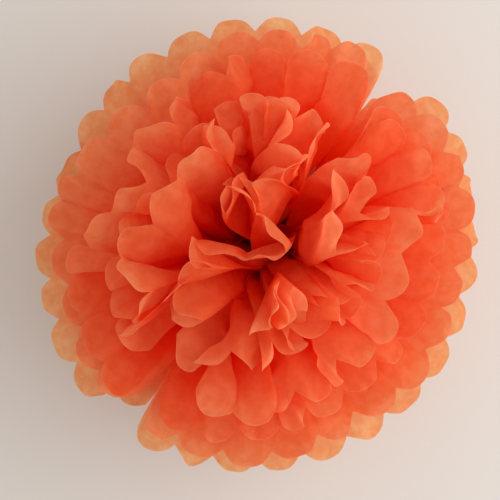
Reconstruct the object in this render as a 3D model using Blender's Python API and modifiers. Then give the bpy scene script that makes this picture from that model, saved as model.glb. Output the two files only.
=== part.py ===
# Tissue paper pom pom, lying on a table. Ten sheets are accordion folded together, their ends are cut
# round, a wire ties them at the middle, and each sheet is then pulled apart: half of them up, half down.
# Metres, +Z up. The origin is on the table under the tie, and +X runs along the folded strip.
import math
import random

import bmesh
import bpy
from mathutils import Vector

# Driving dimensions
SHEET_COUNT = 10
PLEAT_COUNT = 14            # pleats across one sheet
PLEAT_WIDTH = 0.025
SHEET_LENGTH = 0.250
PAPER = 0.0001              # thickness of the solid that stands for the tissue
TIE_HEIGHT = 0.084          # the tie's height above the table
HALF_FAN = 88.5             # degrees from +X to the last fold of each half
# Each sheet's slope in degrees: as it leaves the tie, part way along, and at the petal tips
SLOPES = [(62, 76, 38), (50, 62, 32), (38, 47, 22), (27, 32, 12), (15, 16, 0),
          (4, 1, -8), (-7, -14, -18), (-20, -30, -26), (-34, -48, -24), (-48, -70, 2)]

# The gathered middle, inside the tie
GATHER_WIDTH = 0.015        # all the pleats pressed side by side
GATHER_PITCH = 0.0007       # from one sheet to the next
GATHER_DEPTH = 0.0004       # half depth of a pressed pleat
FLAT_RUN = 0.0015           # the folds run straight through the tie this far from the middle
TURN_RUN = 0.0015           # and have turned to their places in the fan this much further out
LIFT_RUN = 0.003            # the sheet then takes its first slope over this length
BEND_AT = 0.050             # the second slope is reached here
PUFF = 0.4                  # how fast a pleat deepens as it leaves the tie

# Shape of one sheet's mesh
STEP = 0.0005               # along the folds
PATH_LENGTH = 0.145         # the folds' lines are worked out this far from the tie
STATIONS = [0, 0.0015, 0.003, 0.010, 0.024, 0.046, 0.072, 0.098]  # rows from the middle to the round ends
END_CUTS = 3                # points on each round end, between its two folds
SHALLOWEST = 0.0008         # half depth that a pleat keeps at the rim
NEAR = 1e-6                 # rounding allowed when a grid point is placed

# Hand-folded unevenness
SEED = 5
FAN_WANDER = 1.6            # degrees, the same for every sheet so that the pleats still nest
SLOPE_WANDER = 2.5          # degrees

# Tie wire
WIRE_RADIUS = 0.0005
WIRE_GAP = 0.0003
TWIST_PITCH = 0.004
TWIST_TURNS = 3
RING_CORNER = 0.001         # the wire bends round the gathered sheets with this radius
CORNER_STEPS = 4
TWIST_POINTS = 10           # per turn

PETAL_RADIUS = PLEAT_WIDTH / 2
SHOULDER = SHEET_LENGTH / 2 - PETAL_RADIUS
ROWS = STATIONS + [SHOULDER]


def clear_scene():
    for old in list(bpy.data.objects):
        bpy.data.objects.remove(old)


def new_collection(name):
    collection = bpy.data.collections.new(name)
    bpy.context.scene.collection.children.link(collection)
    return collection


def new_material(name, colour, roughness, metallic):
    material = bpy.data.materials.new(name)
    material.use_nodes = True
    shader = material.node_tree.nodes["Principled BSDF"]
    shader.inputs["Base Color"].default_value = (*colour, 1)
    shader.inputs["Roughness"].default_value = roughness
    shader.inputs["Metallic"].default_value = metallic
    return material


def eased(value):
    value = min(max(value, 0), 1)
    return value * value * (3 - 2 * value)


def slope_at(slopes, along):
    leaving, middle, tip = slopes
    level = eased((along - FLAT_RUN - TURN_RUN) / LIFT_RUN)
    bend = eased((along - LIFT_RUN) / (BEND_AT - LIFT_RUN))
    flare = eased((along - BEND_AT) / (SHEET_LENGTH / 2 - BEND_AT))
    return math.radians(level * (leaving + (middle - leaving) * bend + (tip - middle) * flare))


def gather_height(index):
    return TIE_HEIGHT + ((SHEET_COUNT - 1) / 2 - index) * GATHER_PITCH


def ground_path(fold, turn):
    """One fold seen from above: out of the tie along +X, then round to its place in the fan."""
    azimuth = math.radians((2 * fold / PLEAT_COUNT - 1) * HALF_FAN + turn)
    point = Vector((0, (fold / PLEAT_COUNT - 0.5) * GATHER_WIDTH))
    path = []
    for step in range(int(PATH_LENGTH / STEP) + 1):
        heading = azimuth * eased((step * STEP - FLAT_RUN) / TURN_RUN)
        path.append(point.copy())
        point += STEP * Vector((math.cos(heading), math.sin(heading)))
    return path


def point_on(line, along):
    step = along / STEP
    before = min(int(step), len(line) - 2)
    return line[before].lerp(line[before + 1], step - before)


def pleat_depth(spacing, out):
    """Half depth of the zigzag: a panel is PLEAT_WIDTH wide and its two folds are this far apart."""
    open_depth = math.sqrt(max(PLEAT_WIDTH ** 2 - spacing ** 2, 0)) / 2
    room = GATHER_DEPTH + PUFF * max(out - FLAT_RUN - TURN_RUN, 0)
    return max(min(open_depth, room), min(SHALLOWEST, room))


def fold_line(index, fold, paths, slope_change):
    """One fold of a sheet from the tie to its petal tips: even folds stand up, odd ones hang down."""
    side = 1 if fold % 2 == 0 else -1
    neighbour = paths[fold - 1] if fold else paths[1]
    out, height = 0, gather_height(index)
    line = []
    for step in range(int(round(SHEET_LENGTH / 2 / STEP)) + 1):
        along = step * STEP
        slope = slope_at(SLOPES[index], along) + math.radians(slope_change) * eased(along / BEND_AT)
        spacing = (point_on(paths[fold], out) - point_on(neighbour, out)).length
        depth = side * pleat_depth(spacing, out)
        ground = point_on(paths[fold], out - depth * math.sin(slope))
        line.append(Vector((ground.x, ground.y, height + depth * math.cos(slope))))
        out += math.cos(slope) * STEP
        height += math.sin(slope) * STEP
    return line


def folded(flat, lines):
    """Where a point of the flat sheet goes. The two halves are the same fan, turned by half a turn."""
    across = flat.x / PLEAT_WIDTH + PLEAT_COUNT / 2
    if flat.y < 0:
        across = PLEAT_COUNT - across
    fold = min(int(across + NEAR), PLEAT_COUNT - 1)
    along = abs(flat.y)
    place = point_on(lines[fold], along).lerp(point_on(lines[fold + 1], along), across - fold)
    if flat.y < 0:
        place.x, place.y = -place.x, -place.y
    place.z = max(place.z, 0)
    return place


def flat_sheet():
    """The unfolded sheet: a grid with one column a pleat, and a half-round end on each column."""
    bm = bmesh.new()
    bmesh.ops.create_grid(bm, x_segments=PLEAT_COUNT, y_segments=2 * (len(ROWS) - 1), size=1)
    for vert in bm.verts:
        row = round(vert.co.y * (len(ROWS) - 1))
        vert.co.x *= PLEAT_COUNT * PLEAT_WIDTH / 2
        vert.co.y = math.copysign(ROWS[abs(row)], row)
    ends = [edge for edge in bm.edges if all(abs(vert.co.y) > SHOULDER - NEAR for vert in edge.verts)]
    corners = set(bm.verts)
    bmesh.ops.subdivide_edges(bm, edges=ends, cuts=END_CUTS)
    for vert in set(bm.verts) - corners:
        column = (vert.co.x / PLEAT_WIDTH) % 1
        angle = math.pi * column
        vert.co.x += PLEAT_WIDTH * ((1 - math.cos(angle)) / 2 - column)
        vert.co.y += math.copysign(PETAL_RADIUS * math.sin(angle), vert.co.y)
    bmesh.ops.triangulate(bm, faces=bm.faces, ngon_method="EAR_CLIP")
    return bm


def pleated_sheet(index, paths, chance, collection, material):
    name = f"sheet_{index + 1:02d}"
    lines = [fold_line(index, fold, paths, chance.uniform(-SLOPE_WANDER, SLOPE_WANDER))
             for fold in range(PLEAT_COUNT + 1)]
    bm = flat_sheet()
    for vert in bm.verts:
        vert.co = folded(vert.co, lines)
    mesh = bpy.data.meshes.new(name)
    bm.to_mesh(mesh)
    bm.free()
    mesh.materials.append(material)
    sheet = bpy.data.objects.new(name, mesh)
    collection.objects.link(sheet)
    solid = sheet.modifiers.new("paper", "SOLIDIFY")
    solid.thickness = PAPER
    solid.offset = -1
    return sheet


def tie_route():
    """Out along one strand of the twist, once round the gathered sheets, and back along the other."""
    half_width = GATHER_WIDTH / 2 + PAPER + WIRE_GAP + WIRE_RADIUS
    half_height = (SHEET_COUNT - 1) / 2 * GATHER_PITCH + GATHER_DEPTH + PAPER + WIRE_GAP + WIRE_RADIUS
    strand = WIRE_RADIUS + WIRE_GAP / 2
    start = -half_width - 2 * WIRE_RADIUS
    twist = []
    for step in range(TWIST_TURNS * TWIST_POINTS + 1):
        angle = 2 * math.pi * step / TWIST_POINTS
        along = start - TWIST_PITCH * step / TWIST_POINTS
        twist.append(Vector((strand * math.sin(angle), along, TIE_HEIGHT + strand * math.cos(angle))))
    ring = []
    corner_y, corner_z = half_width - RING_CORNER, half_height - RING_CORNER
    for quarter, (side_y, side_z) in enumerate([(-1, 1), (1, 1), (1, -1), (-1, -1)]):
        centre = Vector((0, side_y * corner_y, TIE_HEIGHT + side_z * corner_z))
        for step in range(CORNER_STEPS + 1):
            angle = math.pi - math.pi / 2 * (quarter + step / CORNER_STEPS)
            ring.append(centre + RING_CORNER * Vector((0, math.cos(angle), math.sin(angle))))
    back = [Vector((-point.x, point.y, 2 * TIE_HEIGHT - point.z)) for point in twist]
    return twist[::-1] + ring + back


def tie_wire(collection, material):
    curve = bpy.data.curves.new("tie_wire", "CURVE")
    curve.dimensions = "3D"
    curve.bevel_depth = WIRE_RADIUS
    curve.bevel_resolution = 1
    curve.use_fill_caps = True
    route = tie_route()
    line = curve.splines.new("POLY")
    line.points.add(len(route) - 1)
    for target, point in zip(line.points, route):
        target.co = (*point, 1)
    curve.materials.append(material)
    wire = bpy.data.objects.new("tie_wire", curve)
    collection.objects.link(wire)
    return wire


def main():
    clear_scene()
    parts = new_collection("tissue_paper_pom_pom")
    tissue = new_material("orange_tissue", (0.78, 0.13, 0.035), 0.75, 0)
    steel = new_material("bare_wire", (0.55, 0.55, 0.56), 0.35, 1)
    chance = random.Random(SEED)
    paths = [ground_path(fold, chance.uniform(-FAN_WANDER, FAN_WANDER)) for fold in range(PLEAT_COUNT + 1)]
    for index in range(SHEET_COUNT):
        pleated_sheet(index, paths, chance, parts, tissue)
    tie_wire(parts, steel)


main()
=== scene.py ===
import math
import time

import bpy
import numpy as np
from mathutils import Matrix, Vector


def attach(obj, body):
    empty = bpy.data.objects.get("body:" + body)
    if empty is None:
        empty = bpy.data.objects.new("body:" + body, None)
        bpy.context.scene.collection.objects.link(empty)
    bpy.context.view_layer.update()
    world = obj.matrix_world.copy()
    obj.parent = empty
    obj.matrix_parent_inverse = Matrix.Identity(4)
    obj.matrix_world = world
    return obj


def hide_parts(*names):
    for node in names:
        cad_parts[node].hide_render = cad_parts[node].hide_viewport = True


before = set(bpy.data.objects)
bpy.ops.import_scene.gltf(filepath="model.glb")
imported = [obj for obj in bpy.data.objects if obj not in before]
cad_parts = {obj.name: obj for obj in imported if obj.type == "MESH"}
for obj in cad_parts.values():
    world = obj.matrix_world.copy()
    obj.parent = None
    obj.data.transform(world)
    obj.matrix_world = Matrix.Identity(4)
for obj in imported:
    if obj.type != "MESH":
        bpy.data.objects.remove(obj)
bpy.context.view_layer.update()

started = time.time()


def say(stage):
    print(f"{time.time() - started:6.1f} s  {stage}", flush=True)


def linear(code):
    # sRGB hex to the linear colour that a shader wants
    parts = [int(code[i:i + 2], 16) / 255 for i in (0, 2, 4)]
    return tuple(p / 12.92 if p <= 0.04045 else ((p + 0.055) / 1.055) ** 2.4 for p in parts) + (1.0,)


def addNode(tree, kind, settings=None, values=None, links=None):
    # settings are the node's own, values go on its sockets, links are (socket, from socket)
    node = tree.nodes.new(kind)
    for name, value in (settings or {}).items():
        setattr(node, name, value)
    for name, value in (values or {}).items():
        node.inputs[name].default_value = value
    for name, source in (links or {}).items():
        tree.links.new(source, node.inputs[name])
    return node


def deselectAll():
    for thing in bpy.context.selected_objects:
        thing.select_set(False)


def eased(x):
    y = np.clip(x, 0.0, 1.0)
    return y * y * (3 - 2 * y)


def setsIn(where, run):
    # rises smoothly from 0 to 1, from a start and over a length
    start, length = run
    return eased((where - start) / length)


# the paper: ten sheets folded together like a fan, cut round at both ends and tied across the middle
paper = {
    "sheets": 10,
    "pleats": 14,
    "pleatWidth": 0.025,  # all sizes are in metres
    "length": 0.250,
    "tieHeight": 0.084,
    "gatherWidth": 0.015,  # how wide the fan is where the wire holds it
    "gatherPitch": 0.0007,  # from one sheet to the next inside the wire
    "roundFrom": (0.45, 0.55),  # the rows take up the round cut from here on, over this share of a half
    "columnsPerPleat": 4,
    "rowsPerHalf": 24,
    "subdivide": 2,
    "crease": (0.75, 0.35),  # how crisp a fold is at the tie, and how much of that it loses by the end
    "mapUnit": 0.25,  # length of flat paper that one unit of its map covers
    "mapStep": 3.0,  # map units from one sheet to the next, so that each has clouds of its own
    "flatArea": 0.0849,  # square metres, with the scallops cut
    "paintedGlowFrom": (0.070, 0.122),  # metres from the tie where the painted shade of a petal fades to the painted glow of its end
    # how strong the painted glow at the ends is: strongest where a single sheet lies over the board, and
    # weaker over other sheets
    "paintedGlowAtEnds": [0.5, 0.5, 0.46, 0.46, 0.55, 1.0, 0.8, 0.62, 0.55, 0.5],
}

# how each sheet is pulled open, from the top one to the bottom one
opening = {
    "seed": 23,
    "slopes": [  # degrees above level on leaving the tie, at mid length and at the tips
        (78, 100, 16),
        (66, 82, 10),
        (56, 69, 2),
        (45, 55, -4),
        (32, 39, -2),
        (10, 9, -3),
        (-12, -21, -25),
        (-20, -30, -26),
        (-34, -48, -24),
        (-48, -70, 2),
    ],
    "steeperTowards": 150.0,  # the side, in degrees from +X, where the upper sheets stand closer together
    "steeper": [0, 3, 8, 14, 6, -2, 0, 0, 0, 0],
    "halfFan": 89.0,
    "uneven": [1.4, 1.4, 1.4, 1.1, 0.6, 0.3, 0.3, 0.5, 0.7, 0.8],  # how unequal the gaps between folds are
    "pairSlip": 0.15,  # how far the two pleats of a pair differ
    "leastGap": 0.4,  # the tightest pleat beside the mean one
    "mostGap": 0.97,  # the widest, as a share of the pleat's own width
    "shared": 0.7,  # share of the unevenness that a sheet has in common with its neighbours
    "carriedOver": (0.6, 0.8),  # the common part of the next sheet: from this one, and new
    "unlevel": [4, 5, 5, 5, 5, 4, 4, 3, 3, 2],  # mm that a fold stands off its even height at the tips
    "levelled": 0.7,  # share of a run of rising pleats that is taken out again
    "sideways": [0.3, 0.35, 0.4, 0.4, 0.35, 0.3, 0.3, 0.25, 0.2, 0.2],  # pleats that a fold wanders
    "lean": [10, 9, 8, 8, 7, 7, 6, 6, 6, 5],  # degrees, fold by fold
    "tipLean": [26, 24, 22, 20, 18, 17, 15, 12, 10, 6],
    "wave": (5.0, 0.5, 0.9),  # degrees of a slow wave round the fan, and the range of its pitch
    "cup": [4.5, 4.0, 3.6, 3.0, 2.4, 2.0, 1.8, 1.8, 1.8, 1.6],  # mm across a petal
    "curl": [5, 5, 5, 5, 4, 4, 4, 3, 3, 2],  # mm at a petal's end
    "cupShare": (0.9, 0.9),  # of the above, petal by petal: the mean and the spread
    "curlShare": (0.25, 0.8),
    "drifts": [13, -10, 7, -5, 3, 0, 0, 0, 0, 0],  # mm that the split moves aside above the tie
    # degrees that the fan's open edges turn at each end of the split, so that no gap runs straight through
    "swings": [(14, 9), (-9, -12), (7, 6), (-6, 4), (4, -5), (-5, -4), (4, 5), (-4, 4), (3, -3), (0, 0)],
}

# metres from the tie where each change of a fold's course starts, and the length over which it sets in
runs = {
    "leave": (0.003, 0.006),
    "bend": (0.006, 0.044),
    "droop": (0.05, 0.075),
    "fan": (0.0015, 0.0015),
    "lean": (0.0, 0.05),
    "tipLean": (0.06, 0.06),
    "crowd": (0.0, 0.085),
    "swing": (0.0, 0.06),
    "wander": (0.03, 0.09),
    "unfold": (0.015, 0.08),
    "drift": (0.012, 0.03),
    "cup": (0.02, 0.06),
    "curl": (0.075, 0.05),
}

# how the opened sheets relax together
settling = {
    "rounds": 150,
    "passes": 3,
    "pull": (0.02, 0.004),  # towards the opened shape: what fades over the rounds, and what stays
    "diagonals": 0.6,  # stiffness beside that of the paper's length, 1
    "bendAlong": 0.1,
    "bendAcross": (0.15, 0.15, 0.10),  # each half of a pleat, and the whole
    "gap": 0.0006,
    "reach": (2, 4),  # rows and columns around a point where its nearest neighbour is looked for
    "contactLimit": 0.004,
    "heldTo": 0.004,  # metres from the tie that don't move
    "loosens": (0.004, 0.02),
    "offFloor": 0.0002,
    "offSplit": 0.0005,
    "splitOpens": (0.0, 0.03),
}


def flatPattern():
    # where each grid point lies on the flat sheet: across the pleats, and along from the tie
    count = paper["pleats"] * paper["columnsPerPleat"] + 1
    column = np.arange(count)
    panel = np.minimum(column // paper["columnsPerPleat"], paper["pleats"] - 1)
    part = (column - panel * paper["columnsPerPleat"]) / paper["columnsPerPleat"]
    across = (1 - np.cos(np.pi * part)) / 2
    bulge = np.sin(np.pi * part)
    bulge[np.abs(bulge) < 1e-9] = 0
    radius = paper["pleatWidth"] / 2
    t = np.linspace(-1, 1, 2 * paper["rowsPerHalf"] + 1)
    cut = setsIn(np.abs(t), paper["roundFrom"])
    along = np.abs(t)[:, None] * (paper["length"] / 2 - radius) + radius * bulge[None, :] * cut[:, None]
    along = np.sign(t)[:, None] * along
    flat = np.stack([np.broadcast_to((panel + across) * paper["pleatWidth"], along.shape), along], -1)
    return flat, panel, across, t


flat, panelOf, acrossOf, rowPlace = flatPattern()
halfOf = np.where(rowPlace >= 0, 1, -1)
rows, columns = flat.shape[:2]


def normals(points):
    n = np.cross(np.gradient(points, axis=-3), np.gradient(points, axis=-2))
    return n / (np.linalg.norm(n, axis=-1, keepdims=True) + 1e-12)


def gapsAtTips(weights, total, most):
    # shares the total among the pleats, none wider than the paper is
    least = opening["leastGap"] * total / len(weights)
    gaps = least + weights / weights.sum() * (total - least * len(weights))
    for _ in range(30):
        over = gaps > most
        if not over.any() or over.all():
            break
        spare = (gaps[over] - most).sum()
        gaps[over] = most
        gaps[~over] += spare * gaps[~over] / gaps[~over].sum()
    return np.minimum(gaps, most)


def openedSheet(k, rng, common):
    pleats = paper["pleats"]
    width = paper["pleatWidth"]
    halfFan = math.radians(opening["halfFan"])
    leaving, middle, tips = np.radians(opening["slopes"][k])
    s = np.linspace(0, paper["length"] / 2 * 1.02, 240)
    step = s[1] - s[0]
    slope = setsIn(s, runs["leave"]) * (
        leaving + (middle - leaving) * setsIn(s, runs["bend"]) + (tips - middle) * setsIn(s, runs["droop"]))
    swings = [math.radians(a) for a in opening["swings"][k]]
    height, slow, fast = opening["wave"]
    points = np.zeros((rows, columns, 3))
    petalCurl = np.zeros((2, columns))
    petalCup = np.zeros((2, columns))
    for side, half in enumerate((1, -1)):
        own = rng.normal(0, 1, pleats)
        phase = 0 if k < 5 else 1  # closed pleats stand away from the side that shows
        pair = (np.arange(pleats) + phase) // 2
        own = own[pair] + opening["pairSlip"] * rng.normal(0, 1, pleats)
        kept = common[side][pair]
        mixedWeights = np.exp(opening["uneven"][k] * (
            math.sqrt(opening["shared"]) * kept + math.sqrt(1 - opening["shared"]) * own))
        reach = np.cumsum(np.cos(slope) * step)[-1]
        fan = 2 * halfFan
        gaps = gapsAtTips(mixedWeights, fan * reach, opening["mostGap"] * width)
        places = np.concatenate([[0], np.cumsum(gaps)]) / gaps.sum()
        upOrDown = np.where(np.arange(pleats) % 2 == 0, -1, 1)
        rise = np.sqrt(np.maximum(width * width - gaps * gaps, 0)) * upOrDown
        heights = np.concatenate([[0], np.cumsum(rise)])
        trend = np.convolve(np.pad(heights, 3, mode="edge"), np.ones(7) / 7, mode="valid")
        heights = heights - opening["levelled"] * trend
        heights = heights + rng.normal(0, opening["unlevel"][k] * 0.001, pleats + 1)
        jitter = rng.normal(0, opening["sideways"][k], pleats + 1) * fan / pleats
        lean = np.radians(rng.normal(0, opening["lean"][k], pleats + 1))
        tipLean = np.radians(rng.normal(0, opening["tipLean"][k], pleats + 1))
        phases = np.arange(pleats + 1) * rng.uniform(slow, fast) + rng.uniform(0, 6.28)
        wave = np.radians(height) * np.sin(phases)
        folds = []
        for j in range(pleats + 1):
            about = (2 * places[j] - 1) * halfFan + (0 if half > 0 else math.pi)
            closer = max(0.0, math.cos(about - math.radians(opening["steeperTowards"])))
            lift = math.radians(opening["steeper"][k]) * closer
            angle = slope + (lean[j] + wave[j] + lift) * setsIn(s, runs["lean"])
            angle = angle + tipLean[j] * setsIn(s, runs["tipLean"])
            out = np.concatenate([[0], np.cumsum(np.cos(angle)[:-1] * step)])
            up = np.concatenate([[0], np.cumsum(np.sin(angle)[:-1] * step)])
            even = (2 * j / pleats - 1) * halfFan
            bearing = even * setsIn(out, runs["fan"])
            travel = np.diff(out, prepend=0)
            x = np.cumsum(np.cos(bearing) * travel)
            y = (j / pleats - 0.5) * paper["gatherWidth"] + np.cumsum(np.sin(bearing) * travel)
            across = j / pleats if half > 0 else 1 - j / pleats
            swing = swings[1] + (swings[0] - swings[1]) * across
            turn = (places[j] - j / pleats) * fan * setsIn(s, runs["crowd"])
            turn = turn + swing * setsIn(s, runs["swing"])
            turn = turn + jitter[j] * setsIn(s, runs["wander"])
            x, y = x * np.cos(turn) - y * np.sin(turn), x * np.sin(turn) + y * np.cos(turn)
            spacing = np.maximum(out, 1e-4) * fan / pleats + 0.001
            depth = 0.5 * np.sqrt(np.maximum(width * width - spacing * spacing, 0.002 ** 2))
            depth = depth * (1 if j % 2 == 0 else -1)
            depth = depth + (heights[j] - depth) * setsIn(s, runs["unfold"])
            depth = np.clip(depth, -0.0004 - 0.45 * s, 0.0004 + 0.45 * s)
            room = 0.9 * (out + 0.0005) / np.maximum(np.abs(np.sin(angle)), 0.1)
            depth = np.clip(depth, -room, room)
            facing = np.arctan2(y, x)
            inward = -np.sin(angle) * depth
            z = up + np.cos(angle) * depth + paper["tieHeight"] + (4.5 - k) * paper["gatherPitch"]
            folds.append(np.stack([
                (x + inward * np.cos(facing)) * half, (y + inward * np.sin(facing)) * half, z], -1))
        span = np.where(rowPlace * half >= 0)[0]
        for c in range(columns):
            u = panelOf[c] + acrossOf[c]
            if half < 0:
                u = pleats - u
            j = min(int(u + 1e-9), pleats - 1)
            f = u - j
            far = np.abs(flat[span, c, 1])
            one = np.stack([np.interp(far, s, folds[j][:, q]) for q in range(3)], -1)
            two = np.stack([np.interp(far, s, folds[j + 1][:, q]) for q in range(3)], -1)
            points[span, c] = one * (1 - f) + two * f
        curls = rng.normal(*opening["curlShare"], pleats) * opening["curl"][k] * 0.001
        cups = rng.normal(*opening["cupShare"], pleats) * opening["cup"][k] * 0.001
        petalCup[side] = cups[panelOf] * np.sin(np.pi * acrossOf)
        middles = np.arange(pleats) + 0.5
        petalCurl[side] = np.interp(panelOf + acrossOf, middles, curls)
    pick = np.where(halfOf > 0, 0, 1)
    far = np.abs(flat[..., 1])
    points[..., 0] += opening["drifts"][k] * 0.001 * setsIn(far, runs["drift"])
    shift = petalCup[pick] * setsIn(far, runs["cup"]) + petalCurl[pick] * setsIn(far, runs["curl"]) ** 1.5
    return points + normals(points) * shift[..., None]


def openAll():
    rng = np.random.default_rng(opening["seed"])
    common = rng.normal(0, 1, (2, paper["pleats"]))
    carried, fresh = opening["carriedOver"]
    made = []
    for k in range(paper["sheets"]):
        made.append(openedSheet(k, rng, common))
        common = carried * common + fresh * rng.normal(0, 1, common.shape)
    return np.array(made)


def paperLinks(far, shape):
    # lengths that the paper keeps, along, across and on the diagonals, and a little stiffness against bending
    every = slice(None)
    links = []

    def link(a, b, strength, near=None, keepsBend=False):
        rest = np.linalg.norm(flat[a] - flat[b], axis=-1)
        hold = np.full(rest.shape, strength) if near is None else strength * near[a]
        a = (every,) + a
        b = (every,) + b
        rest = rest[None]
        if keepsBend:
            rest = np.minimum(rest, np.linalg.norm(shape[a] - shape[b], axis=-1))
        links.append((a, b, rest, hold[None]))

    for p in (0, 1):
        link((every, slice(p, columns - 1, 2)), (every, slice(p + 1, columns, 2)), 1.0, far)
        link((slice(p, rows - 1, 2), every), (slice(p + 1, rows, 2), every), 1.0)
        link((slice(p, rows - 1, 2), slice(0, columns - 1)), (slice(p + 1, rows, 2), slice(1, columns)),
             settling["diagonals"], far)
        link((slice(p, rows - 1, 2), slice(1, columns)), (slice(p + 1, rows, 2), slice(0, columns - 1)),
             settling["diagonals"], far)
    for p in range(4):
        for q in (p, p + 4):
            link((slice(q, rows - 4, 8), every), (slice(q + 4, rows, 8), every),
                 settling["bendAlong"], far, True)
    whole = paper["columnsPerPleat"]
    stretches = ((0, whole // 2), (whole // 2, whole), (0, whole))
    for (a, b), strength in zip(stretches, settling["bendAcross"]):
        for p in (0, 1):
            first = np.arange(p, paper["pleats"], 2) * whole
            rest = np.abs(flat[0, first + b, 0] - flat[0, first + a, 0])[None, :] * np.ones((rows, 1))
            links.append(((every, every, first + a), (every, every, first + b), rest[None],
                          (strength * far[:, first + a])[None]))
    return links


def keepLengths(points, loose, links):
    for a, b, rest, hold in links:
        gap = points[b] - points[a]
        length = np.sqrt((gap * gap).sum(-1)) + 1e-12
        looseA = loose[a]
        looseB = loose[b]
        move = (hold * (length - rest) / length / (looseA + looseB + 1e-12))[..., None] * gap
        points[a] += move * looseA[..., None]
        points[b] -= move * looseB[..., None]


def keepApart(points, loose, far):
    # each sheet stays on its own side of the next, at the nearest of the points around the same place
    facing = normals(points)
    upper = points[:-1]
    lower = points[1:]
    nearest = np.full(upper.shape[:-1], 1e9)
    push = np.zeros(upper.shape)
    reachRows, reachColumns = settling["reach"]
    for di in range(-reachRows, reachRows + 1):
        for dj in range(-reachColumns, reachColumns + 1):
            i0, i1 = max(0, -di), rows - max(0, di)
            j0, j1 = max(0, -dj), columns - max(0, dj)
            there = lower[:, i0 + di:i1 + di, j0 + dj:j1 + dj]
            side = facing[1:, i0 + di:i1 + di, j0 + dj:j1 + dj]
            gap = upper[:, i0:i1, j0:j1] - there
            squared = (gap * gap).sum(-1)
            best = nearest[:, i0:i1, j0:j1]
            closer = squared < best
            best[closer] = squared[closer]
            need = np.maximum(settling["gap"] - (gap * side).sum(-1), 0)
            push[:, i0:i1, j0:j1][closer] = (need[..., None] * side)[closer]
    length = np.linalg.norm(push, axis=-1, keepdims=True)
    push *= np.minimum(1, settling["contactLimit"] / (length + 1e-12))
    share = 0.5 * (loose[:-1] * far[None])[..., None]
    points[:-1] += push * share
    points[1:] -= push * share


def settle(points):
    # the opened sheets relax as paper does: it folds and bends, but hardly stretches
    target = points.copy()
    held = np.abs(rowPlace) * (paper["length"] / 2 - paper["pleatWidth"] / 2) < settling["heldTo"]
    loose = np.ones((paper["sheets"], rows, columns))
    loose[:, held] = 0
    fromTie = np.abs(flat[..., 1])
    far = setsIn(fromTie, settling["loosens"])
    links = paperLinks(far, target)
    side = halfOf[None, :, None]
    drift = np.array(opening["drifts"])[:, None, None] * 0.001 * setsIn(fromTie, runs["drift"])[None]
    swings = -np.tan(np.radians(np.array(opening["swings"], float)))
    rounds = settling["rounds"]
    fading, staying = settling["pull"]
    for turn in range(rounds):
        pull = fading * (1 - turn / rounds) + staying
        points += (target - points) * pull * loose[..., None]
        for _ in range(settling["passes"]):
            keepLengths(points, loose, links)
        if turn % 2 == 0:
            keepApart(points, loose, far)
        points[..., 2] = np.maximum(points[..., 2], settling["offFloor"])
        y = points[..., 1]
        lean = np.where(y > 0, swings[:, 0, None, None], swings[:, 1, None, None])
        edge = lean * y * setsIn(np.abs(y), settling["splitOpens"]) + drift
        # each half fan stays on its own side of the split
        over = ((points[..., 0] - edge) * side < settling["offSplit"]) & (far[None] > 0.2)
        points[..., 0] = np.where(over, edge + settling["offSplit"] * side, points[..., 0])
        points = np.round(points, 8)  # drops the digits that another processor might give otherwise
    return points


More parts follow.
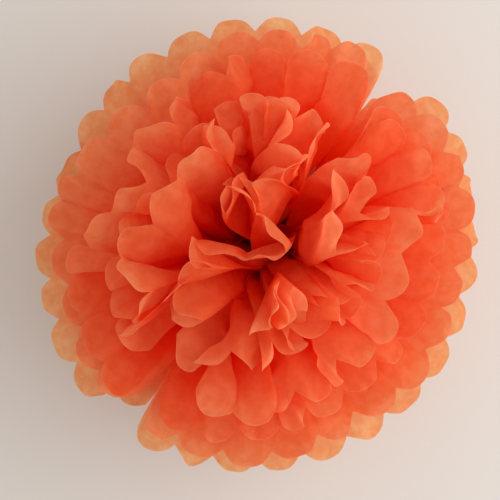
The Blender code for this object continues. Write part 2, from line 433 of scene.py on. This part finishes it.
def tissueMaterial():
    # dyed tissue paper, calendered: thin and matt, it glows where light comes through and
    # deepens where sheets lie over each other, and its fibres lie in faint clouds; its colour also
    # holds painted shade near the tie, a painted glow at the sheets' ends and a painted highlight on the cut
    # edges
    look = {
        "front": "fbb87c",
        "cloud": "f6a264",
        "through": "ffdaa4",
        "thick": "ffc68c",
        "edge": "ffd0ae",
        "share": 0.68,  # how much of the light that it takes goes on through
        "paintedShade": "ff450a",  # painted shade near the tie, where the paper is lit by nothing but paper
        "paintedShadeCloud": "f03608",
        "paintedShadeThrough": "ff4508",
        "cloudSize": 0.0033,  # metres across a cloud of fibres, and a crumple
        "crumpleSize": 0.012,
        # edge: a painted highlight along the cut edges of the paper
        "crumpleDepth": 0.0025,
        "highlightWidth": 0.6,  # millimetres of the painted highlight along a cut edge, and how much of its colour shows there
        "highlightShare": 0.6,
    }
    material = bpy.data.materials.new("calenderedTissue")
    material.use_nodes = True
    tree = material.node_tree
    tree.nodes.clear()
    place = addNode(tree, "ShaderNodeUVMap", {"uv_map": "flatSheet"})
    clouds = addNode(tree, "ShaderNodeTexNoise",
                     values={"Scale": paper["mapUnit"] / look["cloudSize"] * 0.5, "Detail": 3.0,
                             "Roughness": 0.6},
                     links={"Vector": place.outputs["UV"]})
    spread = addNode(tree, "ShaderNodeMapRange",
                     values={"From Min": 0.38, "From Max": 0.62}, links={"Value": clouds.outputs["Fac"]})
    front = addNode(tree, "ShaderNodeMix", {"data_type": "RGBA"}, links={"Factor": spread.outputs["Result"]})
    front.inputs[6].default_value = linear(look["cloud"])
    front.inputs[7].default_value = linear(look["front"])
    # painted shade near the tie, fading to a painted glow towards the petals' ends
    paintedShadeToGlow = addNode(tree, "ShaderNodeAttribute", {"attribute_name": "paintedShadeToGlow"})
    shade = addNode(tree, "ShaderNodeMix", {"data_type": "RGBA"}, links={"Factor": paintedShadeToGlow.outputs["Fac"]})
    depth = addNode(tree, "ShaderNodeMix", {"data_type": "RGBA"}, links={"Factor": spread.outputs["Result"]})
    depth.inputs[6].default_value = linear(look["paintedShadeCloud"])
    depth.inputs[7].default_value = linear(look["paintedShade"])
    tree.links.new(depth.outputs[2], shade.inputs[6])
    tree.links.new(front.outputs[2], shade.inputs[7])
    # painted highlight along the cut edges
    toEdge = addNode(tree, "ShaderNodeAttribute", {"attribute_name": "toEdge"})
    paintedHighlightMask = addNode(tree, "ShaderNodeMapRange",
                  values={"From Min": 0.0, "From Max": look["highlightWidth"],
                          "To Min": look["highlightShare"], "To Max": 0.0},
                  links={"Value": toEdge.outputs["Fac"]})
    lit = addNode(tree, "ShaderNodeMix", {"data_type": "RGBA"}, links={"Factor": paintedHighlightMask.outputs["Result"]})
    tree.links.new(shade.outputs[2], lit.inputs[6])
    lit.inputs[7].default_value = linear(look["edge"])
    crumple = addNode(tree, "ShaderNodeTexNoise",
                      values={"Scale": paper["mapUnit"] / look["crumpleSize"] * 0.5, "Detail": 2.0,
                              "Roughness": 0.55},
                      links={"Vector": place.outputs["UV"]})
    bump = addNode(tree, "ShaderNodeBump", values={"Strength": 0.6, "Distance": look["crumpleDepth"]},
                   links={"Height": crumple.outputs["Fac"]})
    face = addNode(tree, "ShaderNodeBsdfPrincipled",
                   values={"Roughness": 0.72, "IOR": 1.45, "Specular IOR Level": 0.1},
                   links={"Base Color": lit.outputs[2], "Normal": bump.outputs["Normal"]})
    formed = addNode(tree, "ShaderNodeMix", {"data_type": "RGBA"}, links={"Factor": spread.outputs["Result"]})
    formed.inputs[6].default_value = linear(look["thick"])
    formed.inputs[7].default_value = linear(look["through"])
    # the same painted shade and painted glow in the light that comes through
    glow = addNode(tree, "ShaderNodeMix", {"data_type": "RGBA"}, links={"Factor": paintedShadeToGlow.outputs["Fac"]})
    glow.inputs[6].default_value = linear(look["paintedShadeThrough"])
    tree.links.new(formed.outputs[2], glow.inputs[7])
    through = addNode(tree, "ShaderNodeBsdfTranslucent",
                      links={"Color": glow.outputs[2], "Normal": bump.outputs["Normal"]})
    both = addNode(tree, "ShaderNodeMixShader", values={"Fac": look["share"]})
    tree.links.new(face.outputs[0], both.inputs[1])
    tree.links.new(through.outputs[0], both.inputs[2])
    addNode(tree, "ShaderNodeOutputMaterial", links={"Surface": both.outputs[0]})
    return material


def wireMaterial():
    # drawn steel florist's wire: a dull grey metal with fine marks along it
    look = {"metal": "8f8a86", "roughness": (0.3, 0.5), "markSize": 0.0015}
    material = bpy.data.materials.new("drawnSteelWire")
    material.use_nodes = True
    tree = material.node_tree
    face = tree.nodes["Principled BSDF"]
    face.inputs["Base Color"].default_value = linear(look["metal"])
    face.inputs["Metallic"].default_value = 1.0
    place = addNode(tree, "ShaderNodeTexCoord")
    marks = addNode(tree, "ShaderNodeTexNoise", values={"Scale": 1 / look["markSize"], "Detail": 2.0},
                    links={"Vector": place.outputs["Object"]})
    rough = addNode(tree, "ShaderNodeMapRange",
                    values={"To Min": look["roughness"][0], "To Max": look["roughness"][1]},
                    links={"Value": marks.outputs["Fac"]})
    tree.links.new(rough.outputs["Result"], face.inputs["Roughness"])
    return material


def makeSheet(k, points, material):
    name = f"tissueSheet{k + 1:02d}"
    mesh = bpy.data.meshes.new(name)
    index = np.arange(rows * columns).reshape(rows, columns)
    faces = np.stack([index[:-1, :-1], index[:-1, 1:], index[1:, 1:], index[1:, :-1]], -1).reshape(-1, 4)
    mesh.from_pydata(points.reshape(-1, 3).tolist(), [], faces.tolist())
    sheet = bpy.data.objects.new(name, mesh)
    bpy.context.collection.objects.link(sheet)
    mesh.materials.append(material)
    mesh.shade_smooth()
    perPleat = paper["columnsPerPleat"]
    # folds stay crisp near the tie and soften towards the cut ends
    ends = np.zeros(len(mesh.edges) * 2, int)
    mesh.edges.foreach_get("vertices", ends)
    ends = ends.reshape(-1, 2)
    column = ends % columns
    row = ends // columns
    onFold = (column[:, 0] == column[:, 1]) & (column[:, 0] % perPleat == 0)
    onFold &= (column[:, 0] > 0) & (column[:, 0] < columns - 1)
    outwards = np.abs(row[:, 0] - rows // 2) / (rows // 2)
    crease = mesh.attributes.new("crease_edge", "FLOAT", "EDGE")
    crisp, lost = paper["crease"]
    crease.data.foreach_set("value", np.where(onFold, crisp - lost * outwards, 0.0).astype(np.float32))
    place = np.arange(rows * columns)
    notch = ((place // columns == 0) | (place // columns == rows - 1)) & (place % columns % perPleat == 0)
    corner = mesh.attributes.new("crease_vert", "FLOAT", "POINT")
    corner.data.foreach_set("value", notch.astype(np.float32))
    # millimetres from the cut end, for the painted highlight along it
    reach = np.abs(flat[..., 1])
    toEdge = mesh.attributes.new("toEdge", "FLOAT", "POINT")
    toEdge.data.foreach_set("value", ((reach.max(axis=0)[None] - reach) * 1000).astype(np.float32).ravel())
    # painted shade near the tie, fading to a painted glow towards the petals' ends
    start, end = paper["paintedGlowFrom"]
    paintedShadeToGlow = mesh.attributes.new("paintedShadeToGlow", "FLOAT", "POINT")
    fading = eased((reach - start) / (end - start)) * paper["paintedGlowAtEnds"][k]
    paintedShadeToGlow.data.foreach_set("value", fading.astype(np.float32).ravel())
    # the map is the flat sheet, each from its own place in the roll
    loopPoint = np.zeros(len(mesh.loops), int)
    mesh.loops.foreach_get("vertex_index", loopPoint)
    places = flat.reshape(-1, 2)[loopPoint] / paper["mapUnit"] + (0.0, paper["mapStep"] * k)
    mesh.uv_layers.new(name="flatSheet").data.foreach_set("uv", places.astype(np.float32).ravel())
    finer = sheet.modifiers.new("finer", "SUBSURF")
    finer.levels = paper["subdivide"]
    finer.render_levels = paper["subdivide"]
    bpy.context.view_layer.objects.active = sheet
    bpy.ops.object.modifier_apply(modifier="finer")
    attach(sheet, "root")
    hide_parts(f"sheet_{k + 1:02d}")
    return sheet


say("frame loaded")
tissue = tissueMaterial()
wireMetal = wireMaterial()
deselectAll()
opened = openAll()
say("sheets opened")
opened = settle(opened)
say("sheets settled")
for k in range(paper["sheets"]):
    makeSheet(k, opened[k], tissue)
say("sheets made")
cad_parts["tie_wire"].data.materials.clear()
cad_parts["tie_wire"].data.materials.append(wireMetal)

# the studio: a pale matt floor, one broad lamp from the right and a soft fill all round
studio = {
    "floor": "dcdad5",
    "sky": "fffaf3",
    "skyStrength": 0.71,
    "lampPlace": (1.0, 0.05, 0.65),  # metres to the camera's right, its upward way, and above the floor
    "lampAim": 0.08,
    "lampSize": 1.5,
    "lampPower": 13.0,
    "turn": 36.0,  # degrees from +X to the camera's right
    "aim": (0.0051, 0.0028),  # metres that the camera stands left of the tie and below it
    "height": 0.72,
    "lens": 84.3,
    "sensor": 36,
}
turned = math.radians(studio["turn"])
rightWay = Vector((math.cos(turned), math.sin(turned), 0))
upWay = Vector((-math.sin(turned), math.cos(turned), 0))

deselectAll()
bpy.ops.mesh.primitive_plane_add(size=4)
floor = bpy.context.object
floor.name = "floor"
floorPaint = bpy.data.materials.new("mattBoard")
floorPaint.use_nodes = True
floorFace = floorPaint.node_tree.nodes["Principled BSDF"]
floorFace.inputs["Base Color"].default_value = linear(studio["floor"])
floorFace.inputs["Roughness"].default_value = 0.8
floor.data.materials.append(floorPaint)

world = bpy.data.worlds.new("softRoom")
bpy.context.scene.world = world
world.use_nodes = True
sky = world.node_tree.nodes["Background"]
sky.inputs["Color"].default_value = linear(studio["sky"])
sky.inputs["Strength"].default_value = studio["skyStrength"]

toRight, upward, above = studio["lampPlace"]
lampAt = rightWay * toRight + upWay * upward + Vector((0, 0, above))
bpy.ops.object.light_add(type="AREA", location=lampAt)
lamp = bpy.context.object
lamp.data.size = studio["lampSize"]
lamp.data.energy = studio["lampPower"]
lamp.rotation_euler = (Vector((0, 0, studio["lampAim"])) - lampAt).to_track_quat("-Z", "Y").to_euler()

lensData = bpy.data.cameras.new("cameraAbove")
camera = bpy.data.objects.new("cameraAbove", lensData)
bpy.context.collection.objects.link(camera)
lensData.lens = studio["lens"]
lensData.sensor_width = studio["sensor"]
camera.location = Vector((0, 0, studio["height"])) - rightWay * studio["aim"][0] - upWay * studio["aim"][1]
camera.rotation_mode = "QUATERNION"
camera.rotation_quaternion = Matrix((rightWay, upWay, Vector((0, 0, 1)))).transposed().to_quaternion()
bpy.context.scene.camera = camera
bpy.context.scene.view_settings.view_transform = "Standard"
say("studio set")
